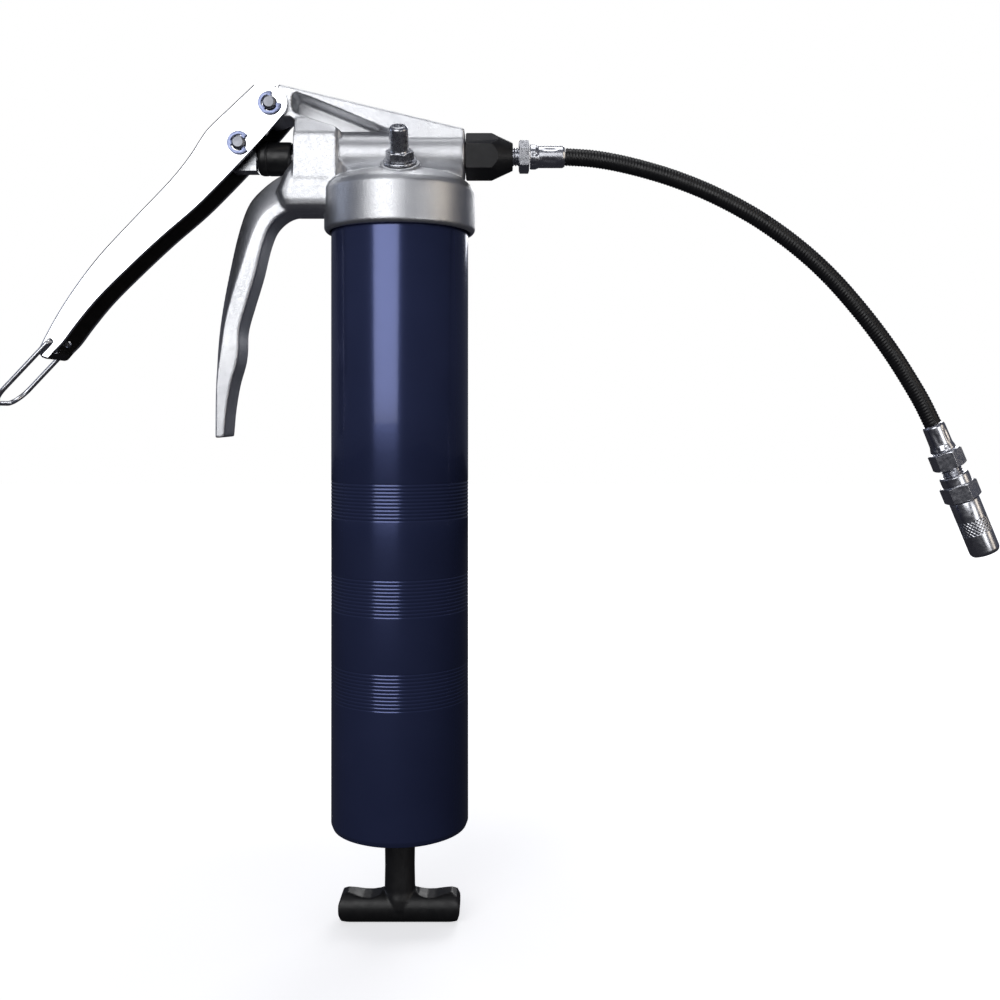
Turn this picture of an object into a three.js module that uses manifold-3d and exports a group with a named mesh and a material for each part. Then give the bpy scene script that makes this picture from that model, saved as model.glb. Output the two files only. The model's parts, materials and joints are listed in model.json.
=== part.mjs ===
// A hand-lever grease gun: a cast head with its fixed grip, a pressed-steel lever, a screw-in
// barrel with a spring follower and T-handle, and a whip hose with a grease coupler.
// Millimetres, +Z up along the barrel, +X towards the hose, +Y away from the pin clips.
// Shapes are written from the point where the barrel axis meets the pump axis, and the whole
// gun is then moved so that the origin lies in the middle of the fixed grip.
import * as THREE from 'three';
import { mergeVertices } from 'three/addons/utils/BufferGeometryUtils.js';
import Module from 'manifold-3d';

const wasm = await Module();
wasm.setup();

// ---- driving dimensions ----
const GAP = 0.3; // between neighbouring pieces
const GRIP_CENTRE = new THREE.Vector3(-71, 0, -80);

const BARREL_R = 28.5;
const BARREL_WALL = 1.5;
const BARREL_BOTTOM = -279.5;
const BARREL_TOP = -15.1;

const COLLAR_R = 31.4;
const COLLAR_BOTTOM = -32.4;
const COLLAR_SHOULDER = -15.3;
const SOCKET_ROOF = -13;

const PUMP_R = 10.3;
const PUMP_RIGHT = 27.3;
const PUMP_BORE_R = 4.1;
const PLUNGER_Z = -1;
const RECESS_R = 7.6;
const RECESS_END = -31.4;
const CHEEK_LEFT = -42.5;
const CHEEK_RIGHT = -25;
const CHEEK_HALF = 13;
const ARM_HALF = 8.5;
const ARM_WEB = 1.8;
const GRIP_HALF = 9.5;

const PIVOT = new THREE.Vector2(-52.3, 19.6);
const PLUNGER_PIN = new THREE.Vector2(-64.9, 3.3);
const PIN_R = 2.7;
const PIN_HOLE_R = PIN_R + GAP;
const LEVER_SHEET = 2.2;
const LEVER_HALF = 11;
const LEVER_INNER = LEVER_HALF - LEVER_SHEET;
const LEVER_EYE_R = 7;
const PIN_DROP = 3.2; // how far the plunger pin sinks in its slot as the lever closes

const LOOP_HOLE = new THREE.Vector2(-142.2, -77.9);
const LOOP_ANGLE = THREE.MathUtils.degToRad(226.7);
const LOOP_WIRE_R = 1;
const LOOP_HALF = 12.4;
const LOOP_REACH = 34.6;
const LOOP_CORNER_R = 8.5;

const BLEEDER_SEAT = new THREE.Vector3(2, -22.8, -7.3);
const BLEEDER_TILT = THREE.MathUtils.degToRad(32);

const OUTLET_HEX_FLATS = 17;
const HOSE_R = 3.7;
const HOSE_START = 69.1;
const HOSE_END = new THREE.Vector2(222.9, -111.8);
const HOSE_END_ANGLE = THREE.MathUtils.degToRad(-67.6);
// Route of the hose centre line, X and Z, from the ferrule on the head to the far ferrule.
const HOSE_ROUTE = [
  [HOSE_START, 0], [79, -0.6], [88.5, -2], [99.5, -4.5], [110.3, -7.6], [119.2, -10.7],
  [127.8, -14.2], [136.2, -18.2], [144, -22.4], [151, -26.6], [162.4, -34.6], [172.9, -43.3],
  [181.6, -51.8], [189.4, -60.6], [197.8, -71], [205.6, -81.8], [212.4, -92.4],
  [218.2, -102.3], [HOSE_END.x, HOSE_END.y],
];

const HANDLE_STEM_R = 6.4;
const HANDLE_BAR_LENGTH = 50.2;
const HANDLE_BAR_TOP = -306.2;
const HANDLE_BAR_BOTTOM = -318.9;
const HANDLE_HALF = 6.6;
const ROD_R = 4;

// ---- materials ----
const material = (color, roughness, metalness) => (
  new THREE.MeshStandardMaterial({ color, roughness, metalness })
);
const MATERIAL = {
  cast: material(0xc4c7cc, 0.45, 0.9),
  paint: material(0x1c2547, 0.25, 0.2),
  chrome: material(0xe8eaee, 0.12, 1),
  zinc: material(0xb4b8c4, 0.28, 1),
  steel: material(0x8d9098, 0.35, 1),
  black: material(0x1b1b1d, 0.5, 0.1),
  rubber: material(0x151515, 0.75, 0),
  clip: material(0x8a90b0, 0.35, 0.9),
};

// ---- making shapes ----
const v2 = (pair) => new THREE.Vector2(pair[0], pair[1]);

// A closed geometry as a solid that can be joined and cut.
function solid(geometry) {
  const bare = geometry.clone();
  bare.deleteAttribute('normal');
  bare.deleteAttribute('uv');
  const merged = mergeVertices(bare, 1e-4);
  const corners = merged.index.array;
  const triangles = [];
  for (let i = 0; i < corners.length; i += 3) {
    const [a, b, c] = corners.slice(i, i + 3);
    if (a !== b && b !== c && c !== a) triangles.push(a, b, c);
  }
  const mesh = new wasm.Mesh({
    numProp: 3,
    vertProperties: new Float32Array(merged.attributes.position.array),
    triVerts: new Uint32Array(triangles),
  });
  mesh.merge();
  return new wasm.Manifold(mesh);
}

function geometryOf(manifold) {
  const mesh = manifold.getMesh();
  const geometry = new THREE.BufferGeometry();
  geometry.setAttribute('position', new THREE.BufferAttribute(mesh.vertProperties, 3));
  geometry.setIndex(new THREE.BufferAttribute(mesh.triVerts, 1));
  const flat = geometry.toNonIndexed();
  flat.computeVertexNormals();
  return flat;
}

function join(first, ...others) {
  return others.reduce((sum, piece) => sum.add(piece), first);
}

function cut(first, ...others) {
  return others.reduce((rest, piece) => rest.subtract(piece), first);
}

// A turned shape about Z. The profile is [radius, height] pairs; it starts and ends on the
// axis, or is a ring that closes on itself.
function turned(profile, segments = 20) {
  let points = profile.map(v2);
  if (THREE.ShapeUtils.area(points) < 0) points = points.reverse();
  if (points[0].x > 0) points.push(points[0].clone());
  return new THREE.LatheGeometry(points, segments).rotateX(Math.PI / 2);
}

// The same turned shape about X, its heights running along +X.
function turnedAlongX(profile, segments = 20) {
  return turned(profile, segments).rotateY(Math.PI / 2);
}

function rod(radius, from, to, segments = 16) {
  return turned([[0, from], [radius, from], [radius, to], [0, to]], segments);
}

function tube(inner, outer, from, to, segments = 20) {
  return turned([[inner, from], [outer, from], [outer, to], [inner, to]], segments);
}

function rodAlongX(radius, from, to, segments = 16) {
  return rod(radius, from, to, segments).rotateY(Math.PI / 2);
}

// A round bar across the gun, along Y, through the point (x, z).
function rodAlongY(radius, centre, from, to, segments = 16) {
  return rod(radius, from, to, segments).rotateX(-Math.PI / 2).translate(centre.x, 0, centre.y);
}

// An outline in X and Z, extruded to the same distance each side of the middle plane.
function plate(points, half, bevel = 0) {
  const shape = points instanceof THREE.Shape ? points : new THREE.Shape(points.map(v2));
  const depth = 2 * (half - bevel);
  const geometry = new THREE.ExtrudeGeometry(shape, {
    depth,
    curveSegments: 5,
    bevelEnabled: bevel > 0,
    bevelThickness: bevel,
    bevelSize: bevel,
    bevelOffset: -bevel,
    bevelSegments: 1,
  });
  return geometry.translate(0, 0, -depth / 2).rotateX(Math.PI / 2);
}

// A hexagonal prism about Z; a corner points along +Y before the turn.
function hexagon(flats, from, to, turn = 0) {
  const corner = flats / Math.sqrt(3);
  const prism = new THREE.CylinderGeometry(corner, corner, to - from, 6).rotateX(Math.PI / 2);
  prism.rotateZ(turn).translate(0, 0, (from + to) / 2);
  return solid(prism);
}

class Helix extends THREE.Curve {
  constructor(radius, length, turns) {
    super();
    Object.assign(this, { radius, length, turns });
  }

  getPoint(t, target = new THREE.Vector3()) {
    const angle = 2 * Math.PI * this.turns * t;
    return target.set(this.radius * Math.cos(angle), this.radius * Math.sin(angle), this.length * t);
  }
}

function section(radius, sides) {
  const shape = new THREE.Shape();
  for (let i = 0; i < sides; i += 1) {
    const angle = (2 * Math.PI * i) / sides;
    shape[i ? 'lineTo' : 'moveTo'](radius * Math.cos(angle), radius * Math.sin(angle));
  }
  return shape;
}

function swept(path, radius, sides, steps) {
  return new THREE.ExtrudeGeometry(section(radius, sides), { extrudePath: path, steps });
}

// A coil spring about Z between two heights, measured over the wire.
function coil(radius, wire, from, to, turns) {
  const helix = new Helix(radius, to - from - 2 * wire, turns);
  return swept(helix, wire, 4, turns * 8).translate(0, 0, from + wire);
}

// The points of a path moved sideways, to the right of its direction when distance is positive.
function beside(path, distance) {
  return path.map((point, i) => {
    const before = v2(path[Math.max(i - 1, 0)]);
    const after = v2(path[Math.min(i + 1, path.length - 1)]);
    const along = after.sub(before).normalize();
    return [point[0] + along.y * distance, point[1] - along.x * distance];
  });
}

function named(name, shape, look) {
  const geometry = shape instanceof THREE.BufferGeometry ? shape : geometryOf(shape);
  const mesh = new THREE.Mesh(geometry, look);
  mesh.name = name;
  return mesh;
}

// ---- head casting ----
const ARM_LINE = [[PUMP_RIGHT, 10], [-49.6, 28.4]];

// Outer edge of the fixed grip, from the mouth of the head down to the tip.
const GRIP_OUTER = [
  [-42.5, -3], [-45, -6.2], [-53, -11.3], [-60.3, -18], [-63.2, -22.8], [-66.6, -33],
  [-70.1, -48.4], [-73, -63.8], [-74.8, -78.2], [-75.6, -95.4], [-75.6, -117.5],
  [-74.9, -120.2], [-73.4, -121],
];
// Inner edge of the grip with its finger swell, from the tip up to the collar.
const GRIP_INNER = [
  [-72, -120], [-71.3, -117], [-70.3, -106], [-68.4, -95], [-66, -86.5], [-65.3, -81],
  [-65, -73], [-62, -62], [-58.5, -50.5], [-55, -36.5], [-52.4, -30.5], [-48, -26.2],
  [-43.4, -24.4], [-31, -24.4], [-22, -22], [-22, -3],
];

function armBlock() {
  const outline = [
    [PIVOT.x, PIVOT.y + 6.7], [-49.6, PIVOT.y + 6.7], ARM_LINE[1], ARM_LINE[0],
    [PUMP_RIGHT, 0], [CHEEK_LEFT, 0], [CHEEK_LEFT, 12.5], [-44.5, 14.6], [-48, 14.4],
  ];
  const tongue = rodAlongY(6.8, PIVOT, -ARM_HALF, ARM_HALF);
  return join(solid(plate(outline, ARM_HALF)), solid(tongue));
}

// The long pocket in the near side of the arm, which leaves a thin web on the far side. Its
// lower right part runs into the pump cylinder, which is joined on after the pocket is cut.
function armPocket() {
  const outline = [
    [-42.9, 16.7], [-43.9, 19.9], [-43.7, 23.6], [-42.2, 24.8], [-34.3, 21.9], [-22.5, 17.1],
    [-6, 10.1], [3.5, 6.5], [12.1, 3.4], [-4, 3.4], [-23.3, 5.5], [-23.6, 9.2], [-25.6, 10.3],
  ];
  const near = -CHEEK_HALF - 1;
  const far = ARM_HALF - ARM_WEB;
  return solid(plate(outline, (far - near) / 2).translate(0, (near + far) / 2, 0));
}

// The thick cheeks around the plunger's mouth, sloping back to the arm above the pump axis.
function cheeks() {
  const across = [
    [-CHEEK_HALF, -12], [CHEEK_HALF, -12], [CHEEK_HALF, 7], [ARM_HALF, 14.5],
    [-ARM_HALF, 14.5], [-CHEEK_HALF, 7],
  ];
  const depth = CHEEK_RIGHT - CHEEK_LEFT;
  const block = new THREE.ExtrudeGeometry(new THREE.Shape(across.map(v2)), {
    depth, bevelEnabled: false,
  });
  return solid(block.rotateX(Math.PI / 2).rotateZ(Math.PI / 2).translate(CHEEK_LEFT, 0, 0));
}

function collar() {
  const profile = [
    [0, -6], [22, -8.4], [26.3, -9.8], [28.5, -11.4], [30.3, -13], [COLLAR_R, COLLAR_SHOULDER],
    [COLLAR_R, -31], [30.3, COLLAR_BOTTOM], [0, COLLAR_BOTTOM],
  ];
  return solid(turned(profile, 40));
}

function bleederPlace(geometry) {
  const { x, y, z } = BLEEDER_SEAT;
  return geometry.rotateX(BLEEDER_TILT).translate(x, y, z);
}

function headCasting() {
  const arm = cut(join(armBlock(), cheeks()), armPocket());
  const body = join(
    solid(rodAlongX(PUMP_R, CHEEK_LEFT, PUMP_RIGHT, 28)),
    arm,
    collar(),
    solid(plate([...GRIP_OUTER, ...GRIP_INNER], GRIP_HALF, 1.3)),
    solid(bleederPlace(rod(8.1, -9, 0, 20))),
  );
  return cut(
    body,
    solid(rodAlongY(PIN_HOLE_R, PIVOT, -20, 20)),
    solid(rod(BARREL_R + 2 * GAP, COLLAR_BOTTOM - 1, SOCKET_ROOF, 40)),
    // pump bore, packing seat and the recess that the boot slides into
    solid(rodAlongX(PUMP_BORE_R, -40, 7).translate(0, 0, PLUNGER_Z)),
    solid(rodAlongX(6.3, RECESS_END - 1, RECESS_END + 4.6).translate(0, 0, PLUNGER_Z)),
    solid(rodAlongX(RECESS_R, -62, RECESS_END, 32).translate(0, 0, PLUNGER_Z)),
    // valve seat, check valve chamber and the inlet from the barrel
    solid(rodAlongX(2, 5, 12, 16)),
    solid(rodAlongX(5, 10, PUMP_RIGHT + 1)),
    solid(rod(2.5, SOCKET_ROOF - 1, PLUNGER_Z, 16).translate(-1, 0, 0)),
    solid(bleederPlace(rod(4.3, -14, 1))),
  );
}

// ---- pump and valve pieces ----
function plungerRod() {
  const tip = -3.9;
  const neckStart = PLUNGER_PIN.x + 4.6;
  const shaft = turnedAlongX([[0, neckStart], [3.8, neckStart], [3.8, tip - 0.6], [3.2, tip], [0, tip]]);
  const slotR = PIN_HOLE_R;
  const head = [
    [PLUNGER_PIN.x - 6, -5.2], [PLUNGER_PIN.x - 4.6, -6.6], [PLUNGER_PIN.x + 5.6, -6.6],
    [PLUNGER_PIN.x + 5.6, 8.2], [PLUNGER_PIN.x + 4, 9.4], [PLUNGER_PIN.x - 4.4, 9.4],
    [PLUNGER_PIN.x - 6, 8],
  ];
  const low = new THREE.Vector2(PLUNGER_PIN.x, PLUNGER_PIN.y - PIN_DROP - 0.2);
  const high = new THREE.Vector2(PLUNGER_PIN.x, PLUNGER_PIN.y + 0.2);
  const slot = [
    [low.x - slotR, low.y], [low.x + slotR, low.y], [high.x + slotR, high.y], [high.x - slotR, high.y],
  ];
  return cut(
    join(solid(shaft.translate(0, 0, PLUNGER_Z)), solid(plate(head, 4.5))),
    solid(rodAlongY(slotR, low, -9, 9)),
    solid(rodAlongY(slotR, high, -9, 9)),
    solid(plate(slot, 9)),
  );
}

const BOOT_LEFT = -58.6;
const BOOT_RIGHT = -44.8;

function plungerBoot() {
  const profile = [
    [4.1, BOOT_LEFT], [6.1, BOOT_LEFT], [7, BOOT_LEFT + 1.2], [7, BOOT_RIGHT - 0.8],
    [6.6, BOOT_RIGHT], [6.2, BOOT_RIGHT], [6.2, BOOT_LEFT + 1.6], [4.1, BOOT_LEFT + 1.6],
  ];
  return turnedAlongX(profile).translate(0, 0, PLUNGER_Z);
}

function pumpPieces() {
  const spring = coil(5.1, 0.6, BOOT_LEFT + 1.9, RECESS_END - 1.5, 6);
  const seal = tube(PUMP_BORE_R, 6, RECESS_END + 0.3, RECESS_END + 4.3);
  const washer = tube(PUMP_BORE_R, 7.2, RECESS_END - 1.2, RECESS_END - GAP + 0.2);
  const onAxis = (geometry) => geometry.rotateY(Math.PI / 2).translate(0, 0, PLUNGER_Z);
  return {
    root: [
      named('plunger_seal', onAxis(seal), MATERIAL.rubber),
      named('gland_washer', onAxis(washer), MATERIAL.steel),
    ],
    plunger: [
      named('plunger_rod', plungerRod(), MATERIAL.steel),
      named('plunger_boot', plungerBoot(), MATERIAL.rubber),
      named('plunger_return_spring', onAxis(spring), MATERIAL.steel),
    ],
  };
}

function checkValve() {
  const ball = new THREE.SphereGeometry(3, 12, 8).translate(12.7, 0, 0);
  const spring = coil(3, 0.45, 16, 21.7, 4).rotateY(Math.PI / 2);
  return [
    named('check_ball', ball, MATERIAL.steel),
    named('check_spring', spring, MATERIAL.steel),
  ];
}

// The air bleeder: a small hexagon body with a press pin in its bore.
function bleeder() {
  const tubeTop = 14.9;
  const body = join(
    solid(rod(4, -8, 1.6)),
    hexagon(10, 1.3, 4.9, THREE.MathUtils.degToRad(38)),
    solid(turned([[0, 4], [3.8, 4], [3.8, tubeTop - 0.9], [2.9, tubeTop], [0, tubeTop]])),
  );
  const bored = cut(body, solid(rod(1.7, 5, tubeTop + 1, 16)), solid(rod(2.8, -9, 9, 20)));
  const pin = turned([
    [0, -4], [1.3, -4], [1.3, 5.4], [2.4, 5.4], [2.4, 7], [1.3, 7.6], [1.3, 13.6],
    [0, 14.2],
  ], 16);
  const pieces = [
    named('bleeder_washer', tube(4.3, 6.9, GAP, 1), MATERIAL.zinc),
    named('bleeder_body', bored, MATERIAL.zinc),
    named('bleeder_pin', pin, MATERIAL.steel),
    named('bleeder_spring', coil(2.1, 0.35, -4.7, 5.1, 4), MATERIAL.steel),
    named('bleeder_retainer', tube(1.6, 2.5, -7.4, -5), MATERIAL.steel),
  ];
  const group = new THREE.Group();
  group.position.copy(BLEEDER_SEAT);
  group.rotation.x = BLEEDER_TILT;
  group.add(...pieces);
  return group;
}

// ---- lever ----
// Outer edge of the side profile (the web), from the pivot end down to the tip.
const LEVER_OUTER = [
  [-59.2, 27.1], [-68.8, 18], [-78.1, 9], [-81.2, 4.6], [-84.2, -0.2], [-87.9, -5.3],
  [-93.1, -11.6], [-102.5, -21.5], [-111.9, -31.3], [-122.3, -42.6], [-130.7, -53.4],
  [-138.2, -64.6], [-143.8, -74.5], [-146.9, -80.6],
];
// Open edge of the side profile, from the tip back to the pivot end.
const LEVER_OPEN = [
  [-140.6, -81.6], [-137.3, -78.2], [-131.7, -70.7], [-123.2, -60.4], [-110.1, -47.3],
  [-96.9, -35], [-82.9, -22.9], [-73, -13.1], [-63.1, -2.8], [-55.6, 5.2], [-47.6, 14.4],
];

function leverOutline() {
  const shape = new THREE.Shape();
  shape.moveTo(LEVER_OUTER[0][0], LEVER_OUTER[0][1]);
  LEVER_OUTER.slice(1).forEach(([x, z]) => shape.lineTo(x, z));
  shape.lineTo(-146.6, -83.2);
  shape.lineTo(-145, -84.8);
  shape.lineTo(-143, -84.4);
  LEVER_OPEN.forEach(([x, z]) => shape.lineTo(x, z));
  const eyeStart = THREE.MathUtils.degToRad(-48);
  const eyeEnd = THREE.MathUtils.degToRad(88);
  shape.absarc(PIVOT.x, PIVOT.y, LEVER_EYE_R, eyeStart, eyeEnd, false);
  shape.lineTo(-57.2, 26.9);
  return shape;
}

// The room between the flanges: the web line moved in by the sheet, out past the open edge.
function channelOutline() {
  const webInside = beside(LEVER_OUTER.slice(0, -1), -LEVER_SHEET);
  const beyond = beside(LEVER_OPEN.slice(1), 6);
  return [
    [-44, 34], [-57.6, 34], ...webInside, [-144.6, -80.4], [-143.6, -82.4], [-141, -82.6],
    [-139, -86], ...beyond, [-40, 12],
  ];
}

function leverPressing() {
  const stopTab = [
    [-59.2, 27.1], [-58.2, 28.9], [-57, 29.8], [-50.3, 29.8], [-50.3, 27.4], [-56.4, 27.4],
    [-57.6, 25.5],
  ];
  const loopHoles = rodAlongY(LOOP_WIRE_R + 0.4, LOOP_HOLE, -20, 20, 16);
  const shell = cut(
    solid(plate(leverOutline(), LEVER_HALF)),
    solid(plate(channelOutline(), LEVER_INNER)),
  );
  return cut(
    join(shell, solid(plate(stopTab, LEVER_INNER - GAP))),
    solid(rodAlongY(PIN_HOLE_R, PIVOT, -20, 20)),
    solid(rodAlongY(PIN_HOLE_R, PLUNGER_PIN, -20, 20)),
    solid(loopHoles),
  );
}

const CLIP_INNER = -LEVER_HALF - GAP;
const CLIP_THICK = 0.8;

// A headed pin with a groove for its clip and a chamfered end.
function clevisPin(centre) {
  const head = LEVER_HALF + GAP;
  const groove = CLIP_INNER;
  const profile = [
    [0, groove - 2.3], [2.1, groove - 2.3], [PIN_R, groove - 1.7], [PIN_R, groove - 1.1],
    [2, groove - 1.1], [2, groove + 0.1], [PIN_R, groove + 0.2], [PIN_R, head],
    [4.3, head], [4.3, head + 1.1], [3.7, head + 1.6], [0, head + 1.6],
  ];
  return turned(profile, 16).rotateX(-Math.PI / 2).translate(centre.x, 0, centre.y);
}

// An E-shaped clip: an open ring with three short prongs that reach into the pin's groove.
function eClip(centre, opening) {
  const ring = new THREE.Shape();
  const half = THREE.MathUtils.degToRad(42);
  ring.absarc(0, 0, 4.7, half, 2 * Math.PI - half, false);
  ring.absarc(0, 0, 3.4, 2 * Math.PI - half, half, true);
  const flat = { depth: CLIP_THICK, bevelEnabled: false, curveSegments: 6 };
  const prong = new THREE.BoxGeometry(1.4, 1.7, CLIP_THICK).translate(3.1, 0, CLIP_THICK / 2);
  const prongs = [half + 0.16, Math.PI, 2 * Math.PI - half - 0.16].map((angle) => (
    solid(prong.clone().rotateZ(angle))
  ));
  const clip = geometryOf(join(solid(new THREE.ExtrudeGeometry(ring, flat)), ...prongs));
  clip.rotateZ(opening).rotateX(Math.PI / 2);
  return clip.translate(centre.x, CLIP_INNER - 0.1, centre.y);
}

// The wire loop that swings from the lever's tip and holds the closed lever to the grip.
function lockLoop() {
  const path = new THREE.CurvePath();
  const start = new THREE.Vector3(0, -LOOP_HALF, 0);
  const bend = LOOP_REACH - LOOP_CORNER_R;
  const side = LOOP_HALF - LOOP_CORNER_R;
  const corner = (x, y) => new THREE.Vector3(x, y, 0);
  const handle = LOOP_CORNER_R * 0.55;
  path.add(new THREE.LineCurve3(start, corner(bend, -LOOP_HALF)));
  path.add(new THREE.CubicBezierCurve3(
    corner(bend, -LOOP_HALF), corner(bend + handle, -LOOP_HALF),
    corner(LOOP_REACH, -side - handle), corner(LOOP_REACH, -side),
  ));
  path.add(new THREE.LineCurve3(corner(LOOP_REACH, -side), corner(LOOP_REACH, side)));
  path.add(new THREE.CubicBezierCurve3(
    corner(LOOP_REACH, side), corner(LOOP_REACH, side + handle),
    corner(bend + handle, LOOP_HALF), corner(bend, LOOP_HALF),
  ));
  path.add(new THREE.LineCurve3(corner(bend, LOOP_HALF), corner(0, LOOP_HALF)));
  const bow = solid(swept(path, LOOP_WIRE_R, 6, 30));
  const ends = [-1, 1].map((side) => {
    const stub = rod(LOOP_WIRE_R, 8, LOOP_HALF, 8).rotateX(side * -Math.PI / 2);
    const knee = new THREE.SphereGeometry(LOOP_WIRE_R * 1.04, 8, 6).translate(0, side * LOOP_HALF, 0);
    return join(solid(stub), solid(knee));
  });
  const loop = geometryOf(join(bow, ...ends));
  return loop.rotateY(-LOOP_ANGLE).translate(LOOP_HOLE.x, 0, LOOP_HOLE.y);
}

// ---- barrel and follower ----
function barrelTube() {
  const inner = BARREL_R - BARREL_WALL;
  const rim = BARREL_BOTTOM + BARREL_WALL;
  return turned([
    [20, BARREL_BOTTOM], [BARREL_R - 2.6, BARREL_BOTTOM], [BARREL_R - 0.8, BARREL_BOTTOM + 0.8],
    [BARREL_R, BARREL_BOTTOM + 2.8], [BARREL_R, BARREL_TOP], [inner, BARREL_TOP],
    [inner, rim + 1], [inner - 1.4, rim], [20, rim],
  ], 40);
}

function barrelPieces() {
  const inner = BARREL_R - BARREL_WALL - GAP;
  const rim = BARREL_BOTTOM + BARREL_WALL + GAP;
  const cap = turned([
    [ROD_R + 0.6, BARREL_BOTTOM + 0.2], [19.6, BARREL_BOTTOM + 0.2], [19.6, rim], [inner - 1.8, rim],
    [inner, rim + 1.4], [inner, rim + 2.6], [9, rim + 2.6], [9, rim + 1.4], [ROD_R + 0.6, rim + 1.4],
  ], 32);
  const bushing = tube(ROD_R + GAP, 8.7, rim + 1.7, rim + 6);
  return [
    named('barrel_tube', barrelTube(), MATERIAL.paint),
    named('barrel_end_cap', cap, MATERIAL.paint),
    named('rod_bushing', bushing, MATERIAL.black),
  ];
}

const FOLLOWER_TOP = -34;

function followerPieces() {
  const inner = BARREL_R - BARREL_WALL - GAP;
  const hole = ROD_R + GAP;
  const cup = turned([
    [hole, FOLLOWER_TOP - 4], [12, FOLLOWER_TOP - 4], [21, FOLLOWER_TOP - 4.4], [inner, FOLLOWER_TOP],
    [inner, FOLLOWER_TOP - 1.2], [24.8, FOLLOWER_TOP - 7], [hole, FOLLOWER_TOP - 7],
  ], 28);
  const spring = coil(22.5, 1.2, BARREL_BOTTOM + 8.6, FOLLOWER_TOP - 9.4, 9);
  return [
    named('follower_cup', cup, MATERIAL.rubber),
    named('follower_plate_upper', tube(hole, 11.5, FOLLOWER_TOP - 3.7, FOLLOWER_TOP - 2.2), MATERIAL.steel),
    named('follower_plate_lower', tube(hole, 24.4, FOLLOWER_TOP - 8.8, FOLLOWER_TOP - 7.3), MATERIAL.steel),
    named('follower_spring', spring, MATERIAL.steel),
  ];
}

function handleOutline() {
  const end = HANDLE_BAR_LENGTH / 2;
  const middle = (HANDLE_BAR_TOP + HANDLE_BAR_BOTTOM) / 2;
  const shape = new THREE.Shape();
  shape.moveTo(0, HANDLE_BAR_BOTTOM);
  shape.lineTo(end - 5, HANDLE_BAR_BOTTOM);
  shape.quadraticCurveTo(end, HANDLE_BAR_BOTTOM, end, middle);
  shape.quadraticCurveTo(end, HANDLE_BAR_TOP, end - 3.4, HANDLE_BAR_TOP);
  shape.quadraticCurveTo(end / 2 + 1, HANDLE_BAR_TOP - 3.2, HANDLE_STEM_R - 0.6, HANDLE_BAR_TOP + 0.6);
  shape.lineTo(0.6 - HANDLE_STEM_R, HANDLE_BAR_TOP + 0.6);
  shape.quadraticCurveTo(-end / 2 - 1, HANDLE_BAR_TOP - 3.2, 3.4 - end, HANDLE_BAR_TOP);
  shape.quadraticCurveTo(-end, HANDLE_BAR_TOP, -end, middle);
  shape.quadraticCurveTo(-end, HANDLE_BAR_BOTTOM, 5 - end, HANDLE_BAR_BOTTOM);
  return shape;
}

function rodPieces() {
  const stemTop = BARREL_BOTTOM - 0.6;
  const rodFoot = HANDLE_BAR_TOP - 5;
  const barMiddle = (HANDLE_BAR_TOP + HANDLE_BAR_BOTTOM) / 2;
  const roundBar = rodAlongX(HANDLE_HALF + 0.3, -HANDLE_BAR_LENGTH, HANDLE_BAR_LENGTH, 20);
  const handle = cut(
    join(
      solid(plate(handleOutline(), HANDLE_HALF)).intersect(
        solid(roundBar.translate(0, 0, barMiddle)),
      ),
      solid(rod(HANDLE_STEM_R, HANDLE_BAR_TOP - 4, stemTop, 20)),
    ),
    solid(rod(ROD_R + GAP, rodFoot, stemTop + 1)),
  );
  const nutFrom = FOLLOWER_TOP - 1.9;
  const bareRod = rod(ROD_R, rodFoot + GAP, FOLLOWER_TOP + 2.6);
  const nut = cut(hexagon(13, nutFrom, FOLLOWER_TOP + 2.2), solid(rod(ROD_R + GAP, -60, 0)));
  return [
    named('follower_rod', bareRod, MATERIAL.steel),
    named('follower_nut', nut, MATERIAL.steel),
    named('t_handle', handle, MATERIAL.black),
  ];
}

// ---- hose and its fittings ----
function outletPieces() {
  const hexEnd = 40.3;
  const taperEnd = 47.2;
  const cone = turnedAlongX([
    [0, PUMP_RIGHT + GAP], [12, PUMP_RIGHT + GAP], [12, hexEnd - 3.2], [5.75, taperEnd], [0, taperEnd],
  ], 28);
  const prism = hexagon(OUTLET_HEX_FLATS, PUMP_RIGHT + GAP, taperEnd + 6, THREE.MathUtils.degToRad(22));
  const nut = geometryOf(prism).rotateY(Math.PI / 2);
  const outletNut = cut(
    join(solid(nut).intersect(solid(cone)), solid(rodAlongX(4.7, 22, PUMP_RIGHT + 3))),
    solid(rodAlongX(2.2, 20, 42, 16)),
    solid(rodAlongX(4.1, 38, 50)),
  );
  const hex = hexagon(12, 49.7, 54, THREE.MathUtils.degToRad(20));
  const nipple = cut(
    join(solid(rod(3.8, 39, 50)), hex),
    solid(rod(1.6, 38, 56, 16)),
  );
  const ferrule = cut(
    solid(turned([[0, 54.3], [5.2, 54.3], [4.6, 57.6], [4.55, 68.2], [4.3, 68.8], [0, 68.8]], 24)),
    solid(rod(1.6, 53, 70, 16)),
  );
  return [
    named('outlet_nut', outletNut, MATERIAL.black),
    named('hose_nipple', geometryOf(nipple).rotateY(Math.PI / 2), MATERIAL.zinc),
    named('hose_ferrule', geometryOf(ferrule).rotateY(Math.PI / 2), MATERIAL.zinc),
  ];
}

function hose() {
  const points = HOSE_ROUTE.map(([x, z]) => new THREE.Vector3(x, 0, z));
  const path = new THREE.CatmullRomCurve3(points, false, 'centripetal');
  return named('hose', swept(path, HOSE_R, 8, 32), MATERIAL.rubber);
}

const SLEEVE_R = 6.2;

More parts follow.
